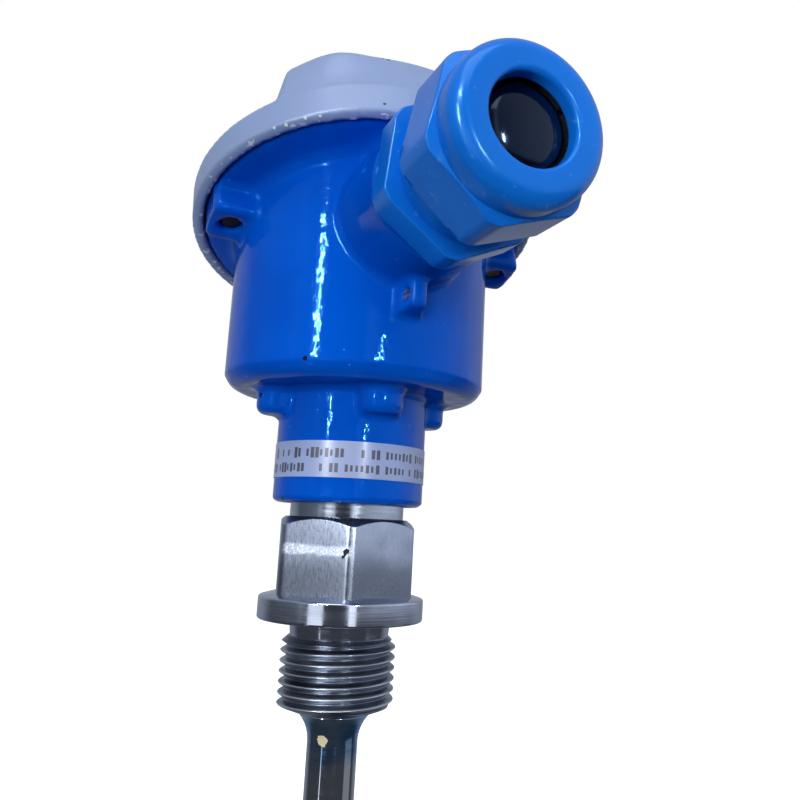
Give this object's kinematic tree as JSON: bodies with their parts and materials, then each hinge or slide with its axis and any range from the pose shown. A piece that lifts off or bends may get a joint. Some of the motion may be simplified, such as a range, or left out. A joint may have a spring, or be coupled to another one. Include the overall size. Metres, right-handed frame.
{
  "type": "resistance thermometer with connection head",
  "caption": "Screw-in resistance thermometer: stem and hexagon in steel, cast connection head with an inclined lid and a plugged cable gland.",
  "frame": {"origin": "on the probe's axis at the flange's lower sealing face", "axes": "+Z along the axis up to the head, -Y along the cable gland outwards, +X to the right seen from the gland"},
  "size_m": [0.0668, 0.0969, 0.198],
  "materials": {
    "blue_coating": "glossy powder coating",
    "grey_coating": "satin powder coating",
    "steel": "turned stainless steel",
    "zinc_steel": "zinc-plated steel",
    "gland_plastic": "moulded, satin",
    "black_plastic": "moulded, glossy",
    "rubber": "matt",
    "silicone": "silicone rubber, matt",
    "label_film": "printed film, satin",
    "module_plastic": "moulded, matt",
    "brass": "nickel-plated brass",
    "wire_sleeve": "insulating sleeve"
  },
  "bodies": {
    "root": {"thermowell": "steel", "head_housing": "blue_coating", "gland_body": "gland_plastic", "gland_washer": "rubber", "gland_seal": "rubber", "gland_plug": "black_plastic", "type_label": "label_film", "insert_screw_left": "zinc_steel", "insert_screw_right": "zinc_steel", "insert_spring_left": "steel", "insert_spring_right": "steel"},
    "insert": {"insert_plate": "steel", "insert_sheath": "steel", "transmitter": "module_plastic", "terminal_screws": "brass", "lead_wires": "wire_sleeve"},
    "lid": {"lid": "grey_coating", "lid_gasket": "silicone"},
    "lid_screw_left": {"lid_screw_left": "zinc_steel"},
    "lid_screw_right": {"lid_screw_right": "zinc_steel"},
    "gland_clamp": {"gland_claw_ring": "module_plastic"},
    "gland_nut": {"gland_nut": "gland_plastic"},
    "earth_screw": {"earth_screw": "zinc_steel"}
  },
  "joints": [
    {"name": "insert_travel", "type": "slide", "parent": "root", "child": "insert", "axis": [0, 0, 1], "range_m": [0, 0.003], "stiffness_N_per_m": 4000, "springref_m": -0.002, "deforming": ["insert_spring_left", "insert_spring_right"]},
    {"name": "lid_lift", "type": "slide", "parent": "root", "child": "lid", "axis": [0, 0.3123, 0.95], "range_m": [0, 0.03]},
    {"name": "lid_screw_left_turn", "type": "hinge", "parent": "lid", "child": "lid_screw_left", "pos_m": [-0.0272, -0.00304, 0.0744], "axis": [0, 0.3123, 0.95], "continuous": true},
    {"name": "lid_screw_right_turn", "type": "hinge", "parent": "lid", "child": "lid_screw_right", "pos_m": [0.0272, -0.00304, 0.0744], "axis": [0, 0.3123, 0.95], "continuous": true},
    {"name": "gland_clamp_slide", "type": "slide", "parent": "root", "child": "gland_clamp", "axis": [0, -1, 0], "range_m": [0, 0.003]},
    {"name": "gland_nut_turn", "type": "hinge", "parent": "gland_clamp", "child": "gland_nut", "pos_m": [0, -0.06, 0.0699], "axis": [0, -1, 0], "range_deg": [0, 720]},
    {"name": "earth_screw_turn", "type": "hinge", "parent": "root", "child": "earth_screw", "pos_m": [0, -0.0276, 0.0552], "axis": [-1, 0, 0], "continuous": true}
  ],
  "couplings": [
    {"joint": "gland_clamp_slide", "follows": "gland_nut_turn", "m_per_rad": 0.00023873}
  ]
}
